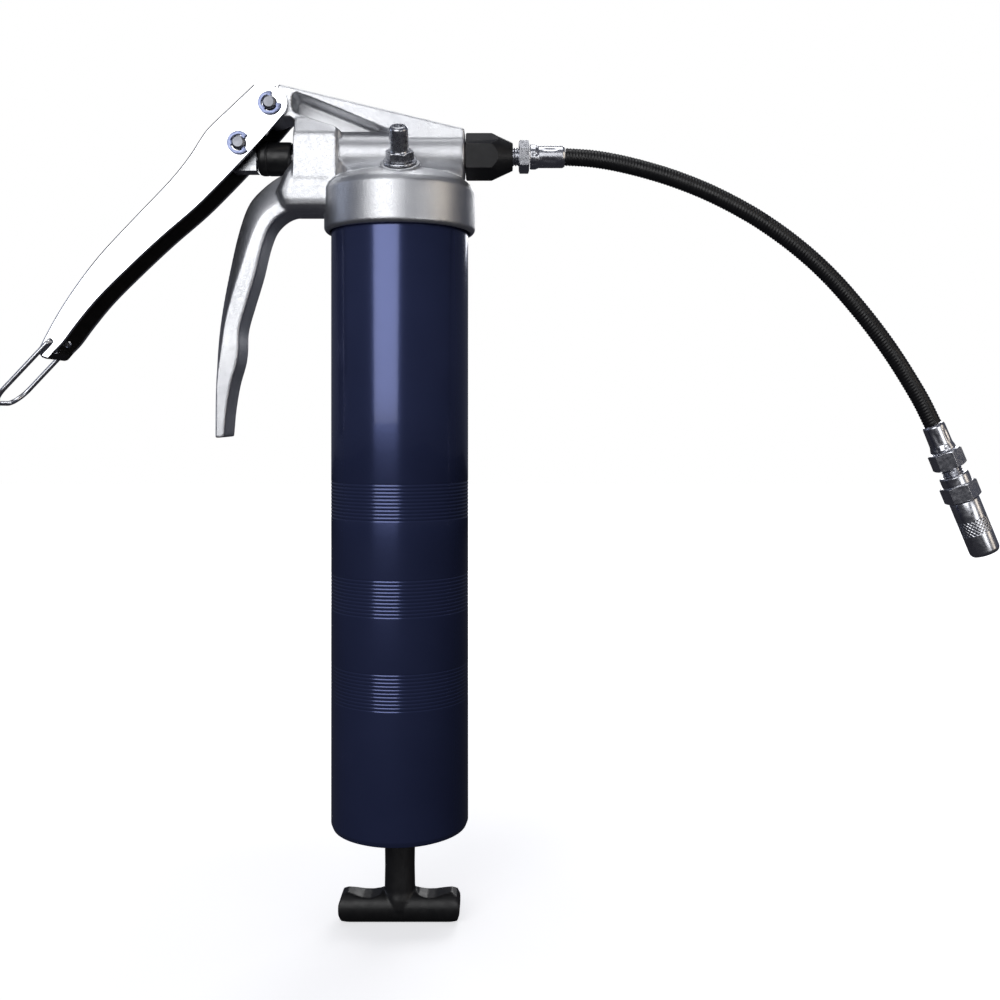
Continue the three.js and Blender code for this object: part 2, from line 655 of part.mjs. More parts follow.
// One of three spring jaws that grip the grease nipple; they share a ring and part at slits.
function jaw(index) {
  const third = (2 * Math.PI) / 3;
  const slit = 0.16;
  const ring = turned([
    [2.7, 47], [4.5, 47], [4.5, 52.4], [3.7, 57.4], [2.3, 57.4], [2.3, 55.6], [3.2, 54.4], [2.7, 50],
  ], 24);
  const reach = 9;
  const from = index * third + slit;
  const wedge = new THREE.Shape();
  wedge.moveTo(0, 0);
  wedge.lineTo(reach * Math.cos(from), reach * Math.sin(from));
  wedge.absarc(0, 0, reach, from, (index + 1) * third - slit, false);
  const slice = new THREE.ExtrudeGeometry(wedge, { depth: 20, bevelEnabled: false, curveSegments: 4 });
  return solid(ring).intersect(solid(slice.translate(0, 0, 42)));
}

// Everything past the end of the hose, about its own +Z.
function coupler() {
  const ferrule = cut(
    solid(turned([[0, GAP], [4.4, GAP], [4.55, 0.8], [4.7, 9], [5.2, 12], [0, 12]], 24)),
    solid(rod(1.6, -1, 13, 16)),
  );
  const nipple = cut(
    join(hexagon(12.2, 12.3, 19.5, 0.1), solid(rod(4.2, 19, 27))),
    solid(rod(1.6, 11, 28, 16)),
  );
  const body = cut(
    join(
      solid(turned([[0, 22.7], [5.5, 22.7], [6.1, 23.3], [6.1, 27], [0, 27]])),
      hexagon(13.4, 26.9, 33.9, 0.15),
      solid(rod(4.6, 33, 46.4)),
    ),
    solid(rod(4.5, 22, 27.6)),
    solid(rod(1.6, 26, 32, 16)),
    solid(rod(3.1, 31, 47)),
  );
  const sleeve = turned([
    [4.9, 34.2], [SLEEVE_R, 34.2], [SLEEVE_R, 56.9], [5.7, 57.9], [4.9, 58.3],
    [4.1, 58.3], [4.1, 56.8], [4.9, 52.4],
  ], 28);
  const seal = tube(1.3, 2.8, 42.6, 46.2, 20);
  const ball = new THREE.SphereGeometry(2, 10, 7).translate(0, 0, 32.6);
  const jaws = [0, 1, 2].map((i) => named(`coupler_jaw_${i + 1}`, jaw(i), MATERIAL.zinc));
  const group = new THREE.Group();
  group.position.set(HOSE_END.x, 0, HOSE_END.y);
  group.rotation.y = Math.PI / 2 - HOSE_END_ANGLE;
  group.add(
    named('end_ferrule', ferrule, MATERIAL.zinc),
    named('end_nipple', nipple, MATERIAL.zinc),
    named('coupler_body', body, MATERIAL.zinc),
    named('coupler_sleeve', sleeve, MATERIAL.zinc),
    named('coupler_spring', coil(2.2, 0.4, 34.9, 42.3, 5), MATERIAL.steel),
    named('coupler_ball', ball, MATERIAL.steel),
    named('coupler_seal', seal, MATERIAL.rubber),
    ...jaws,
  );
  return group;
}

// ---- the whole gun ----
function barrelGasket() {
  const shape = tube(25.5, BARREL_R - 0.1, BARREL_TOP + GAP, SOCKET_ROOF - GAP, 32);
  return named('barrel_gasket', shape, MATERIAL.rubber);
}

function leverPieces() {
  const clipTurn = THREE.MathUtils.degToRad;
  return [
    named('lever', leverPressing(), MATERIAL.chrome),
    named('pivot_pin', clevisPin(PIVOT), MATERIAL.zinc),
    named('pivot_clip', eClip(PIVOT, clipTurn(38)), MATERIAL.clip),
    named('plunger_pin', clevisPin(PLUNGER_PIN), MATERIAL.zinc),
    named('plunger_clip', eClip(PLUNGER_PIN, clipTurn(0)), MATERIAL.clip),
    named('lock_loop', lockLoop(), MATERIAL.zinc),
  ];
}

const pump = pumpPieces();
const gun = new THREE.Group();
gun.position.copy(GRIP_CENTRE).negate();
gun.add(
  named('head_casting', headCasting(), MATERIAL.cast),
  barrelGasket(),
  ...pump.root,
  ...pump.plunger,
  ...checkValve(),
  bleeder(),
  ...leverPieces(),
  ...barrelPieces(),
  ...followerPieces(),
  ...rodPieces(),
  ...outletPieces(),
  hose(),
  coupler(),
);

const part = new THREE.Group();
part.add(gun);
part.updateMatrixWorld(true);

export default part;
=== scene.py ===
"""Looks for a hand-lever grease gun: fine pieces, materials, light and camera.

Shapes are written in gun millimetres, measured from the point where the barrel axis meets the
pump axis, with Z along the barrel and X towards the hose. Each piece is moved into the row
frame, in metres, as it is finished.
"""
import json
import math

import bmesh
import bpy
from mathutils import Matrix, Vector

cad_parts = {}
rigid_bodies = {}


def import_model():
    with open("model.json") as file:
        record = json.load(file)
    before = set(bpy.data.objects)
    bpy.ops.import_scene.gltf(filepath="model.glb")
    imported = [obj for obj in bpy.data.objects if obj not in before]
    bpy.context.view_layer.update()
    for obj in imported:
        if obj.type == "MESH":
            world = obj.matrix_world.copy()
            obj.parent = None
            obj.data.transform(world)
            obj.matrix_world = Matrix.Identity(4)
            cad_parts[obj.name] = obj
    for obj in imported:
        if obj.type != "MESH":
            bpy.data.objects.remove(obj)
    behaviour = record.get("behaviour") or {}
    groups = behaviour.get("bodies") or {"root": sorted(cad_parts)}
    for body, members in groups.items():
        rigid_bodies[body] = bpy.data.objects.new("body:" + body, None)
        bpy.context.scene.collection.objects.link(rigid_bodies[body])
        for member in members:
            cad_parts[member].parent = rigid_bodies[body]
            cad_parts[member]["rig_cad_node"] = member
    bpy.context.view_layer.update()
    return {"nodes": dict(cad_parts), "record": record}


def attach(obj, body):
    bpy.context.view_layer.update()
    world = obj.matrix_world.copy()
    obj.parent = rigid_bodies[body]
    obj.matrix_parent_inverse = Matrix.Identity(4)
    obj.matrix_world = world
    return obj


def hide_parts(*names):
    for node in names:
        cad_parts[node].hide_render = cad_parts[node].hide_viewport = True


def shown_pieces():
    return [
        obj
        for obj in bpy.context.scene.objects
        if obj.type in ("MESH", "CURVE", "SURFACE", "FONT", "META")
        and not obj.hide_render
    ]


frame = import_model()

GUN = Matrix.Scale(0.001, 4) @ Matrix.Translation((71, 0, 80))
ALONG_X = Matrix.Rotation(math.pi / 2, 4, "Y")
ALONG_Y = Matrix.Rotation(-math.pi / 2, 4, "X")


def at(x, y, z):
    return Matrix.Translation((x, y, z))


# ---- dimensions shared with the CAD, in gun millimetres ----
BARREL_R = 28.5
BARREL_WALL = 1.5
BARREL_BOTTOM = -279.5
BARREL_TOP = -15.1
PUMP_R = 10.3
PUMP_RIGHT = 27.3
PLUNGER_Z = -1
ARM_HALF = 8.5
ARM_WEB = 1.8
GRIP_HALF = 9.5
PIVOT = (-52.3, 19.6)
PLUNGER_PIN = (-64.9, 3.3)
PIN_R = 2.7
LEVER_HALF = 11
LEVER_SHEET = 2.2
CHANNEL_HALF = LEVER_HALF - LEVER_SHEET
CLIP_INNER = -11.3
LOOP_HOLE = (-142.2, -77.9)
LOOP_ANGLE = math.radians(226.7)
HOSE_R = 3.7
HOSE_ROUTE = [
    (69.1, 0), (79, -0.6), (88.5, -2), (99.5, -4.5), (110.3, -7.6), (119.2, -10.7),
    (127.8, -14.2), (136.2, -18.2), (144, -22.4), (151, -26.6), (162.4, -34.6), (172.9, -43.3),
    (181.6, -51.8), (189.4, -60.6), (197.8, -71), (205.6, -81.8), (212.4, -92.4),
    (218.2, -102.3), (222.9, -111.8),
]
COUPLER = at(222.9, 0, -111.8) @ Matrix.Rotation(math.radians(157.6), 4, "Y")
BLEEDER = at(2, -22.8, -7.3) @ Matrix.Rotation(math.radians(32), 4, "X")


# ---- camera ----
EYE = (0.11284, -0.480, -0.02795)


def make_camera():
    """A level camera that looks along Y, its film moved down to take in the whole gun."""
    data = bpy.data.cameras.new("camera")
    data.sensor_width = 36
    data.lens = 41.3
    data.shift_y = -0.085
    camera = bpy.data.objects.new("camera", data)
    camera.location = EYE
    camera.rotation_euler = (math.pi / 2, 0, 0)
    bpy.context.scene.collection.objects.link(camera)
    bpy.context.scene.camera = camera


# ---- outlines ----
def through(points, steps):
    """A smooth line through the points, with that many steps between neighbours."""
    points = [Vector(p) for p in points]
    points = [2 * points[0] - points[1], *points, 2 * points[-1] - points[-2]]
    line = []
    for a, b, c, d in zip(points, points[1:], points[2:], points[3:]):
        before = math.sqrt((b - a).length)
        here = math.sqrt((c - b).length)
        after = math.sqrt((d - c).length)
        start = here * ((b - a) / before - (c - a) / (before + here) + (c - b) / here)
        end = here * ((c - b) / here - (d - b) / (here + after) + (d - c) / after)
        for i in range(steps):
            t = i / steps
            line.append(
                b * (2 * t**3 - 3 * t**2 + 1) + start * (t**3 - 2 * t**2 + t)
                + c * (3 * t**2 - 2 * t**3) + end * (t**3 - t**2)
            )
    line.append(points[-2])
    return line


def eased(points, radius, steps=4, closed=True):
    """The outline with each corner rounded over the given length of its two edges."""
    points = [Vector(p) for p in points]
    made = []
    for i, corner in enumerate(points):
        if not closed and i in (0, len(points) - 1):
            made.append(corner)
            continue
        back = points[i - 1] - corner
        ahead = points[(i + 1) % len(points)] - corner
        reach = min(radius, 0.45 * back.length, 0.45 * ahead.length)
        start = corner + back.normalized() * reach
        end = corner + ahead.normalized() * reach
        for k in range(steps + 1):
            t = k / steps
            made.append(start * (1 - t) ** 2 + corner * 2 * t * (1 - t) + end * t**2)
    return made


def arc(centre, radius, start, end, steps):
    """Points on an arc, its angles in degrees."""
    angles = [math.radians(start + (end - start) * i / steps) for i in range(steps + 1)]
    return [
        Vector((centre[0] + radius * math.cos(a), centre[1] + radius * math.sin(a)))
        for a in angles
    ]


def beside(line, distance):
    """The line moved sideways, to the right of its direction when distance is positive."""
    moved = []
    for i, point in enumerate(line):
        along = (line[min(i + 1, len(line) - 1)] - line[max(i - 1, 0)]).normalized()
        moved.append(point + Vector((along.y, -along.x)) * distance)
    return moved


# ---- meshes ----
def closed(bm):
    """The mesh with every face turned outwards."""
    bmesh.ops.recalc_face_normals(bm, faces=bm.faces)
    return bm


def bridge(bm, low, high):
    """Faces between two rings, either of which may be a single point."""
    if len(low) == 1 or len(high) == 1:
        ring, point = (high, low[0]) if len(low) == 1 else (low, high[0])
        for i, v in enumerate(ring):
            bm.faces.new((v, ring[i - 1], point))
        return
    for i in range(len(low)):
        bm.faces.new((low[i - 1], low[i], high[i], high[i - 1]))


def loft(rings, capped=True, looped=False):
    """Joins rings of points into one skin, with flat ends or end joined to start."""
    bm = bmesh.new()
    rows = [[bm.verts.new(p) for p in ring] for ring in rings]
    for low, high in zip(rows, rows[1:]):
        bridge(bm, low, high)
    if looped:
        bridge(bm, rows[-1], rows[0])
    elif capped:
        for row in (rows[0], rows[-1]):
            if len(row) > 2:
                bm.faces.new(row)
    return closed(bm)


def circle(radius, height, sides):
    """A ring of points about Z, or one point when the radius is nothing."""
    if radius < 1e-6:
        return [(0, 0, height)]
    turns = [2 * math.pi * i / sides for i in range(sides)]
    return [(radius * math.cos(a), radius * math.sin(a), height) for a in turns]


def turned(profile, sides=96, edge=0.25):
    """A turned shape about Z from radius and height pairs, its corners eased by edge.
    It ends on the axis, or is a ring that closes on itself."""
    ring = profile[0][0] > 0
    if edge:
        profile = eased(profile, edge, 3, closed=ring)
    return loft([circle(r, z, sides) for r, z in profile], capped=False, looped=ring)


def rippled(radius, heights, sides):
    """A closed round bar about Z whose radius depends on angle and height."""
    turns = [2 * math.pi * i / sides for i in range(sides)]
    return loft([
        [(radius(a, z) * math.cos(a), radius(a, z) * math.sin(a), z) for a in turns]
        for z in heights
    ])


def slab(outline, near, far):
    """An outline in X and Z, extruded along Y."""
    return loft([[(x, y, z) for x, z in outline] for y in (near, far)])


def bar(radius, start, end, sides=48):
    """A plain round bar along Z."""
    return turned([(0, start), (radius, start), (radius, end), (0, end)], sides, 0)


def moved(bm, *steps):
    """The mesh moved by matrices, the first one first."""
    for step in steps:
        bm.transform(step)
    return bm


def across(radius, centre, near, far, sides=48):
    """A round bar along Y through a point in X and Z."""
    return moved(bar(radius, near, far, sides), ALONG_Y, at(centre[0], 0, centre[1]))


def sweep(line, radius, sides, side):
    """A tube along a line that lies square to the side direction; its radius may depend on
    distance and angle."""
    line = [Vector(p) for p in line]
    side = Vector(side)
    distance = 0
    rings = []
    for i, point in enumerate(line):
        along = (line[min(i + 1, len(line) - 1)] - line[max(i - 1, 0)]).normalized()
        side = (side - along * side.dot(along)).normalized()
        other = along.cross(side)
        distance += (point - line[i - 1]).length if i else 0
        ring = []
        for k in range(sides):
            a = 2 * math.pi * k / sides
            r = radius(distance, a) if callable(radius) else radius
            ring.append(point + (side * math.cos(a) + other * math.sin(a)) * r)
        rings.append(ring)
    return loft(rings)


def thing(bm, name="shape"):
    """An object in the scene, made from a bmesh."""
    mesh = bpy.data.meshes.new(name)
    bm.to_mesh(mesh)
    bm.free()
    obj = bpy.data.objects.new(name, mesh)
    bpy.context.scene.collection.objects.link(obj)
    return obj


def applied(obj):
    """The object with its modifiers made part of its mesh."""
    graph = bpy.context.evaluated_depsgraph_get()
    mesh = bpy.data.meshes.new_from_object(obj.evaluated_get(graph))
    obj.modifiers.clear()
    obj.data = mesh
    return obj


def combine(obj, tools, operation, solver="EXACT"):
    """Adds, cuts or keeps what is common with each tool mesh in turn."""
    for tool in tools:
        other = thing(tool)
        modifier = obj.modifiers.new("combine", "BOOLEAN")
        modifier.operation = operation
        modifier.solver = solver
        modifier.object = other
        applied(obj)
        bpy.data.objects.remove(other)
    return obj


def edged(obj, width, segments=2, angle=32):
    """Rounds each edge that turns by more than the angle."""
    modifier = obj.modifiers.new("edge", "BEVEL")
    modifier.width = width
    modifier.segments = segments
    modifier.limit_method = "ANGLE"
    modifier.angle_limit = math.radians(angle)
    modifier.use_clamp_overlap = True
    return applied(obj)


def cast(obj, voxel, rounds):
    """Melts the shape's parts into one skin with soft fillets, as casting or moulding does."""
    remesh = obj.modifiers.new("melt", "REMESH")
    remesh.mode = "VOXEL"
    remesh.voxel_size = voxel
    smooth = obj.modifiers.new("soften", "SMOOTH")
    smooth.factor = 0.5
    smooth.iterations = rounds
    return applied(obj)


def piece(shape, name, look, body, nodes=(), place=None, sharp=38, flat=False):
    """Finishes a piece: moved into the row frame, shaded, and riding on its body. A flat piece
    keeps its large faces evenly lit up to their edges."""
    obj = shape if isinstance(shape, bpy.types.Object) else thing(shape)
    obj.name = name
    obj.data.name = name
    obj.data.transform(GUN @ place if place else GUN)
    obj.data.shade_smooth()
    if sharp < 180:
        obj.data.set_sharp_from_angle(angle=math.radians(sharp))
    if flat:
        weighted = obj.modifiers.new("even", "WEIGHTED_NORMAL")
        weighted.keep_sharp = True
        weighted.weight = 100
        applied(obj)
    obj.data.materials.clear()
    obj.data.materials.append(look)
    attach(obj, body)
    if nodes:
        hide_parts(*nodes)
    return obj


def prism(flats, start, end, turn):
    """A plain hexagonal bar about Z, as an object."""
    corner = flats / math.sqrt(3)
    angles = [math.radians(turn + 60 * i) for i in range(6)]
    return thing(loft([
        [(corner * math.sin(a), corner * math.cos(a), z) for a in angles] for z in (start, end)
    ]))


def hexagon(flats, start, end, turn, chamfer=0.8):
    """A hexagonal nut about Z with turned chamfers at both ends, as an object."""
    rim = flats / 2 - 0.1
    beyond = flats / math.sqrt(3) + 0.5
    lathe = turned([
        (0, start), (rim, start), (beyond, start + chamfer), (beyond, end - chamfer), (rim, end),
        (0, end),
    ], 96, 0)
    nut = combine(prism(flats, start - 1, end + 1, turn), [lathe], "INTERSECT")
    return edged(nut, 0.12, 2, 25)


# ---- materials ----
class Look:
    """A node-based material; each call adds one trait."""

    def __init__(self, name, colour, roughness, metallic=0.0):
        self.material = bpy.data.materials.new(name)
        self.material.use_nodes = True
        self.tree = self.material.node_tree
        self.shader = self.tree.nodes["Principled BSDF"]
        self.shader.inputs["Base Color"].default_value = (*colour, 1)
        self.shader.inputs["Roughness"].default_value = roughness
        self.shader.inputs["Metallic"].default_value = metallic
        self.place = self.tree.nodes.new("ShaderNodeTexCoord").outputs["Object"]
        self.normal = None

    def pattern(self, scale, detail=3, stretch=(1, 1, 1)):
        """Noise fixed to the piece, its size set by scale per metre."""
        mapping = self.tree.nodes.new("ShaderNodeMapping")
        mapping.inputs["Scale"].default_value = [scale * s for s in stretch]
        noise = self.tree.nodes.new("ShaderNodeTexNoise")
        noise.inputs["Scale"].default_value = 1
        noise.inputs["Detail"].default_value = detail
        self.tree.links.new(self.place, mapping.inputs["Vector"])
        self.tree.links.new(mapping.outputs["Vector"], noise.inputs["Vector"])
        return noise.outputs["Fac"]

    def ramp(self, factor, low, high, low_at=0.3, high_at=0.7):
        """Two colours blended by a factor."""
        ramp = self.tree.nodes.new("ShaderNodeValToRGB")
        ramp.color_ramp.elements[0].position = low_at
        ramp.color_ramp.elements[1].position = high_at
        ramp.color_ramp.elements[0].color = (*low, 1)
        ramp.color_ramp.elements[1].color = (*high, 1)
        self.tree.links.new(factor, ramp.inputs["Fac"])
        return ramp.outputs["Color"]

    def colour(self, factor, low, high, low_at=0.3, high_at=0.7):
        made = self.ramp(factor, low, high, low_at, high_at)
        self.tree.links.new(made, self.shader.inputs["Base Color"])
        return self

    def roughness(self, factor, low, high, low_at=0.3, high_at=0.7):
        made = self.ramp(factor, (low,) * 3, (high,) * 3, low_at, high_at)
        self.tree.links.new(made, self.shader.inputs["Roughness"])
        return self

    def bump(self, factor, depth, strength=1.0):
        """Relief of that depth in metres, on top of any relief already there."""
        bump = self.tree.nodes.new("ShaderNodeBump")
        bump.inputs["Distance"].default_value = depth
        bump.inputs["Strength"].default_value = strength
        self.tree.links.new(factor, bump.inputs["Height"])
        if self.normal:
            self.tree.links.new(self.normal, bump.inputs["Normal"])
        self.normal = bump.outputs["Normal"]
        self.tree.links.new(self.normal, self.shader.inputs["Normal"])
        return self

    def coat(self, weight, roughness):
        self.shader.inputs["Coat Weight"].default_value = weight
        self.shader.inputs["Coat Roughness"].default_value = roughness
        return self


def cast_aluminium():
    look = Look("cast_aluminium", (0.74, 0.75, 0.77), 0.42, 1.0)
    grain = look.pattern(2600, 2)
    cloud = look.pattern(55, 4)
    look.colour(cloud, (0.66, 0.67, 0.70), (0.80, 0.81, 0.83))
    look.roughness(look.pattern(900, 3), 0.34, 0.46)
    return look.bump(cloud, 0.0002, 0.4).bump(grain, 0.0001, 0.9).material


def blue_paint():
    look = Look("blue_paint", (0.062, 0.080, 0.205), 0.2, 0.6).coat(0.3, 0.04)
    look.colour(look.pattern(30, 3), (0.056, 0.074, 0.190), (0.068, 0.088, 0.220))
    return look.bump(look.pattern(420, 2), 0.00003, 0.5).material


def lever_chrome():
    look = Look("lever_chrome", (0.88, 0.89, 0.92), 0.16, 1.0)
    look.roughness(look.pattern(260, 4), 0.10, 0.18)
    return look.bump(look.pattern(40, 2), 0.0001, 0.3).material


def lever_inside_painted_shade():
    """Painted shade: a dark, dull look for the inside of the lever's channel, standing in for the
    shade and dark reflections there.
    """
    # Near-black colour: painted shade for the inside of the channel.
    look = Look("lever_inside_painted_shade", (0.022, 0.020, 0.020), 0.5, 0.4)
    look.roughness(look.pattern(300, 4), 0.42, 0.6)
    return look.bump(look.pattern(1200, 3), 0.00004, 0.5).material


def zinc_plate():
    look = Look("zinc_plate", (0.72, 0.73, 0.77), 0.26, 1.0)
    look.colour(look.pattern(180, 4), (0.66, 0.67, 0.71), (0.80, 0.81, 0.85))
    look.roughness(look.pattern(700, 4), 0.20, 0.34)
    return look.bump(look.pattern(1800, 2), 0.00001, 0.4).material


def pin_steel():
    look = Look("pin_steel", (0.30, 0.31, 0.34), 0.42, 1.0)
    look.colour(look.pattern(400, 3), (0.25, 0.26, 0.29), (0.36, 0.37, 0.41))
    return look.bump(look.pattern(1500, 3), 0.00003, 0.6).material


def steel():
    look = Look("steel", (0.5, 0.51, 0.53), 0.32, 1.0)
    look.roughness(look.pattern(800, 3), 0.24, 0.42)
    return look.bump(look.pattern(2200, 2), 0.00002, 0.5).material


def clip_steel():
    look = Look("clip_steel", (0.24, 0.27, 0.42), 0.34, 1.0)
    look.colour(look.pattern(500, 3), (0.18, 0.21, 0.36), (0.32, 0.36, 0.52))
    return look.bump(look.pattern(2400, 2), 0.00002, 0.5).material


def black_finish():
    look = Look("black_finish", (0.018, 0.018, 0.020), 0.36, 0.3)
    look.roughness(look.pattern(500, 4), 0.28, 0.46)
    return look.bump(look.pattern(1500, 3), 0.00004, 0.6).material


def black_plastic():
    look = Look("black_plastic", (0.012, 0.012, 0.013), 0.42)
    look.roughness(look.pattern(300, 4), 0.34, 0.52)
    return look.bump(look.pattern(2200, 2), 0.00004, 0.6).material


def black_rubber():
    look = Look("black_rubber", (0.010, 0.010, 0.011), 0.36)
    look.roughness(look.pattern(400, 4), 0.28, 0.48)
    return look.bump(look.pattern(1600, 3), 0.00003, 0.6).material


LOOKS = {
    make.__name__: make()
    for make in (
        cast_aluminium, blue_paint, lever_chrome, zinc_plate, pin_steel, steel, clip_steel,
        black_finish, black_plastic, black_rubber,
    )
}


# ---- hose ----
HOSE_STEP = 0.22


def hose_line(steps):
    return through([(x, 0, z) for x, z in HOSE_ROUTE], steps)


def hose_rib(distance, angle):
    """Two fine cords wound round the hose stand out as a slanted rib."""
    pitch = 1.3
    wave = math.cos(2 * math.pi * distance / pitch - 2 * angle)
    return HOSE_R - 0.14 + 0.14 * wave


def make_hose():
    rough = hose_line(60)
    line, travelled = [rough[0]], 0
    for a, b in zip(rough, rough[1:]):
        travelled += (b - a).length
        if travelled >= HOSE_STEP:
            line.append(b)
            travelled = 0
    line.append(rough[-1])
    shape = sweep(line, hose_rib, 24, (0, 1, 0))
    return piece(shape, "hose_tube", LOOKS["black_rubber"], "head", ["hose"],
                 sharp=180)


# ---- head casting ----
ARM_TOP = [(PUMP_RIGHT, 10), (-49.6, 28.4)]
GRIP_BACK = [
    (-42.5, -3), (-45, -6.2), (-53, -11.3), (-60.3, -18), (-63.2, -22.8), (-66.6, -33),
    (-70.1, -48.4), (-73, -63.8), (-74.8, -78.2), (-75.6, -95.4), (-75.6, -117.5),
]
GRIP_FRONT = [
    (-31, -24.4), (-43.4, -24.4), (-48, -26.2), (-52.4, -30.5), (-55, -36.5), (-58.5, -50.5),
    (-62, -62), (-65, -73), (-65.3, -81), (-66, -86.5), (-68.4, -95), (-70.3, -106),
    (-71.3, -117),
]


GRIP_RINGS = 60
GRIP_BAND = 4.5


def evenly(line, count):
    """That many points at equal distances along a line."""
    lengths = [0]
    for a, b in zip(line, line[1:]):
        lengths.append(lengths[-1] + (b - a).length)
    points = []
    i = 0
    for k in range(count):
        target = lengths[-1] * k / (count - 1)
        while i < len(line) - 2 and lengths[i + 1] < target:
            i += 1
        share = (target - lengths[i]) / (lengths[i + 1] - lengths[i])
        points.append(line[i].lerp(line[i + 1], share))
    return points


def grip_shape():
    """The grip: a rounded back, a flat side band that widens towards the tip, a flat front."""
    back = evenly(through(GRIP_BACK, 8), GRIP_RINGS)
    front = evenly(through(GRIP_FRONT, 8), GRIP_RINGS)
    rings = []
    for i, (b, f) in enumerate(zip(back, front)):
        share = i / (GRIP_RINGS - 1)
        crease = 0.78 - 0.62 * min(1, share * 1.25)
        half = []
        for k in range(9):
            u = k / 8
            lift = math.sin(1.15 * u) / math.sin(1.15)
            half.append((crease * u, GRIP_BAND + (GRIP_HALF - GRIP_BAND) * lift))
        half += [(0.93, GRIP_HALF), (0.98, GRIP_HALF - 0.35), (1, GRIP_HALF - 1)]
        ring = [(b.lerp(f, d), y) for d, y in half]
        ring += [(p, -y) for p, y in reversed(ring)]
        rings.append([(p.x, y, p.y) for p, y in ring])
    return loft(rings)


def arm_shape():
    """The sloping arm above the pump, from the lever's pivot to the outlet."""
    outline = [
        (PIVOT[0], PIVOT[1] + 6.7), (-49.6, PIVOT[1] + 6.7), ARM_TOP[1], ARM_TOP[0],
        (PUMP_RIGHT, 0), (-42.5, 0), (-42.5, 12.5), (-44.5, 14.6), (-48, 14.4),
    ]
    return edged_block(slab(eased(outline, 0.8, 3), -ARM_HALF, ARM_HALF), 3.2)


def cheek_shape():
    """The wide block round the plunger's end of the pump."""
    across_cheeks = [
        (-13, -12), (13, -12), (13, 7), (ARM_HALF, 14.5), (-ARM_HALF, 14.5), (-13, 7),
    ]
    section = eased(across_cheeks, 1.2, 3)
    return loft([[(x, y, z) for y, z in section] for x in (-42.5, -25)])


def pocket_shape():
    """The long pocket in the near side of the arm, which leaves a thin web on the far side."""
    outline = [
        (-42.9, 16.7), (-43.9, 19.9), (-43.7, 23.6), (-42.2, 24.8), (-34.3, 21.9), (-22.5, 17.1),
        (-6, 10.1), (3.5, 6.5), (12.1, 3.4), (-4, 3.4), (-23.3, 5.5), (-23.6, 9.2), (-25.6, 10.3),
    ]
    return slab(eased(outline, 0.9, 3), -14, ARM_HALF - ARM_WEB)


def grip_root():
    """Fills between the top of the grip, the cheeks and the collar."""
    outline = [(-42.5, -2), (-47, -8), (-50, -16), (-48, -24.6), (-22, -24.6), (-22, -2)]
    return edged_block(slab(outline, -12.8, 12.8), 5)


def edged_block(bm, width):
    """The block with its square corners rounded."""
    block = edged(thing(bm), width, 3, 60)
    made = bmesh.new()
    made.from_mesh(block.data)
    bpy.data.objects.remove(block)
    return made


def make_casting():
    """The head: joined, melted into one casting, and then bored as on a machine."""
    neck = turned([
        (0, -42.5), (PUMP_R, -42.5), (PUMP_R, 26.6), (9.7, PUMP_RIGHT), (0, PUMP_RIGHT),
    ], 96, 0)
    collar = turned([
        (0, -6), (22, -8.4), (26.3, -9.8), (28.5, -11.4), (30.3, -13), (31.4, -15.3),
        (31.4, -31), (30.3, -32.4), (0, -32.4),
    ], 128, 0)
    head = thing(arm_shape())
    combine(head, [cheek_shape()], "UNION", "MANIFOLD")
    combine(head, [pocket_shape()], "DIFFERENCE", "MANIFOLD")
    combine(head, [
        moved(neck, ALONG_X), across(6.8, PIVOT, -ARM_HALF, ARM_HALF), collar, grip_shape(),
        grip_root(), moved(bar(8.1, -9, 0), BLEEDER),
    ], "UNION", "MANIFOLD")
    combine(head, [bar(29.1, -34, -13, 128)], "DIFFERENCE", "MANIFOLD")
    cast(head, 0.5, 6)
    lowered = at(0, 0, PLUNGER_Z)
    combine(head, [
        across(3, PIVOT, -20, 20),
        moved(bar(7.6, -64, -31.4), ALONG_X, lowered),
        moved(bar(6.3, -33, -26.8), ALONG_X, lowered),
        moved(bar(4.1, -40, 7), ALONG_X, lowered),
        moved(bar(2, 5, 12), ALONG_X),
        moved(bar(5, 10, 29), ALONG_X),
        moved(bar(4.3, -14, 1), BLEEDER),
    ], "DIFFERENCE", "MANIFOLD")
    piece(head, "head_shell", LOOKS["cast_aluminium"], "head",
          ["head_casting"], sharp=60)


# ---- lever ----
LEVER_BACK = [
    (-68.8, 18), (-78.1, 9), (-81.2, 4.6), (-84.2, -0.2), (-87.9, -5.3), (-93.1, -11.6),
    (-102.5, -21.5), (-111.9, -31.3), (-122.3, -42.6), (-130.7, -53.4), (-138.2, -64.6),
    (-143.8, -74.5), (-146.9, -80.6),
]
LEVER_OPEN = [
    (-140.6, -81.6), (-137.3, -78.2), (-131.7, -70.7), (-123.2, -60.4), (-110.1, -47.3),
    (-96.9, -35), (-82.9, -22.9), (-73, -13.1), (-63.1, -2.8), (-55.6, 5.2), (-47.6, 14.4),
]


def lever_back():
    """The back of the lever's web, from the pivot end to the nose."""
    return [Vector((-59.2, 27.1)), *through(LEVER_BACK, 4)]


def bent(bm, count, places, radius, segments):
    """The slab with the same stretch of its two rims rounded; count is the rims' length."""
    bm.verts.ensure_lookup_table()
    bends = []
    for start in (0, count):
        for i in places:
            bends.append(bm.edges.get((bm.verts[start + i], bm.verts[start + i + 1])))
    bmesh.ops.bevel(
        bm, geom=bends, offset=radius, segments=segments, profile=0.5, affect="EDGES",
        clamp_overlap=True,
    )
    return closed(bm)


def lever_block():
    """The lever's full outline, with the two long bends of its web rounded."""
    back = lever_back()
    nose = [(-146.7, -83), (-145.6, -84.4), (-144.2, -84.9), (-143, -84.4)]
    eye = arc(PIVOT, 7, -48, 88, 20)
    outline = [
        *back, *(Vector(p) for p in nose), *through(LEVER_OPEN, 4)[:-1], *eye,
        Vector((-57.2, 26.9)),
    ]
    bm = slab(outline, -LEVER_HALF, LEVER_HALF)
    return bent(bm, len(outline), range(len(back) + len(nose) - 2), 2.6, 6)


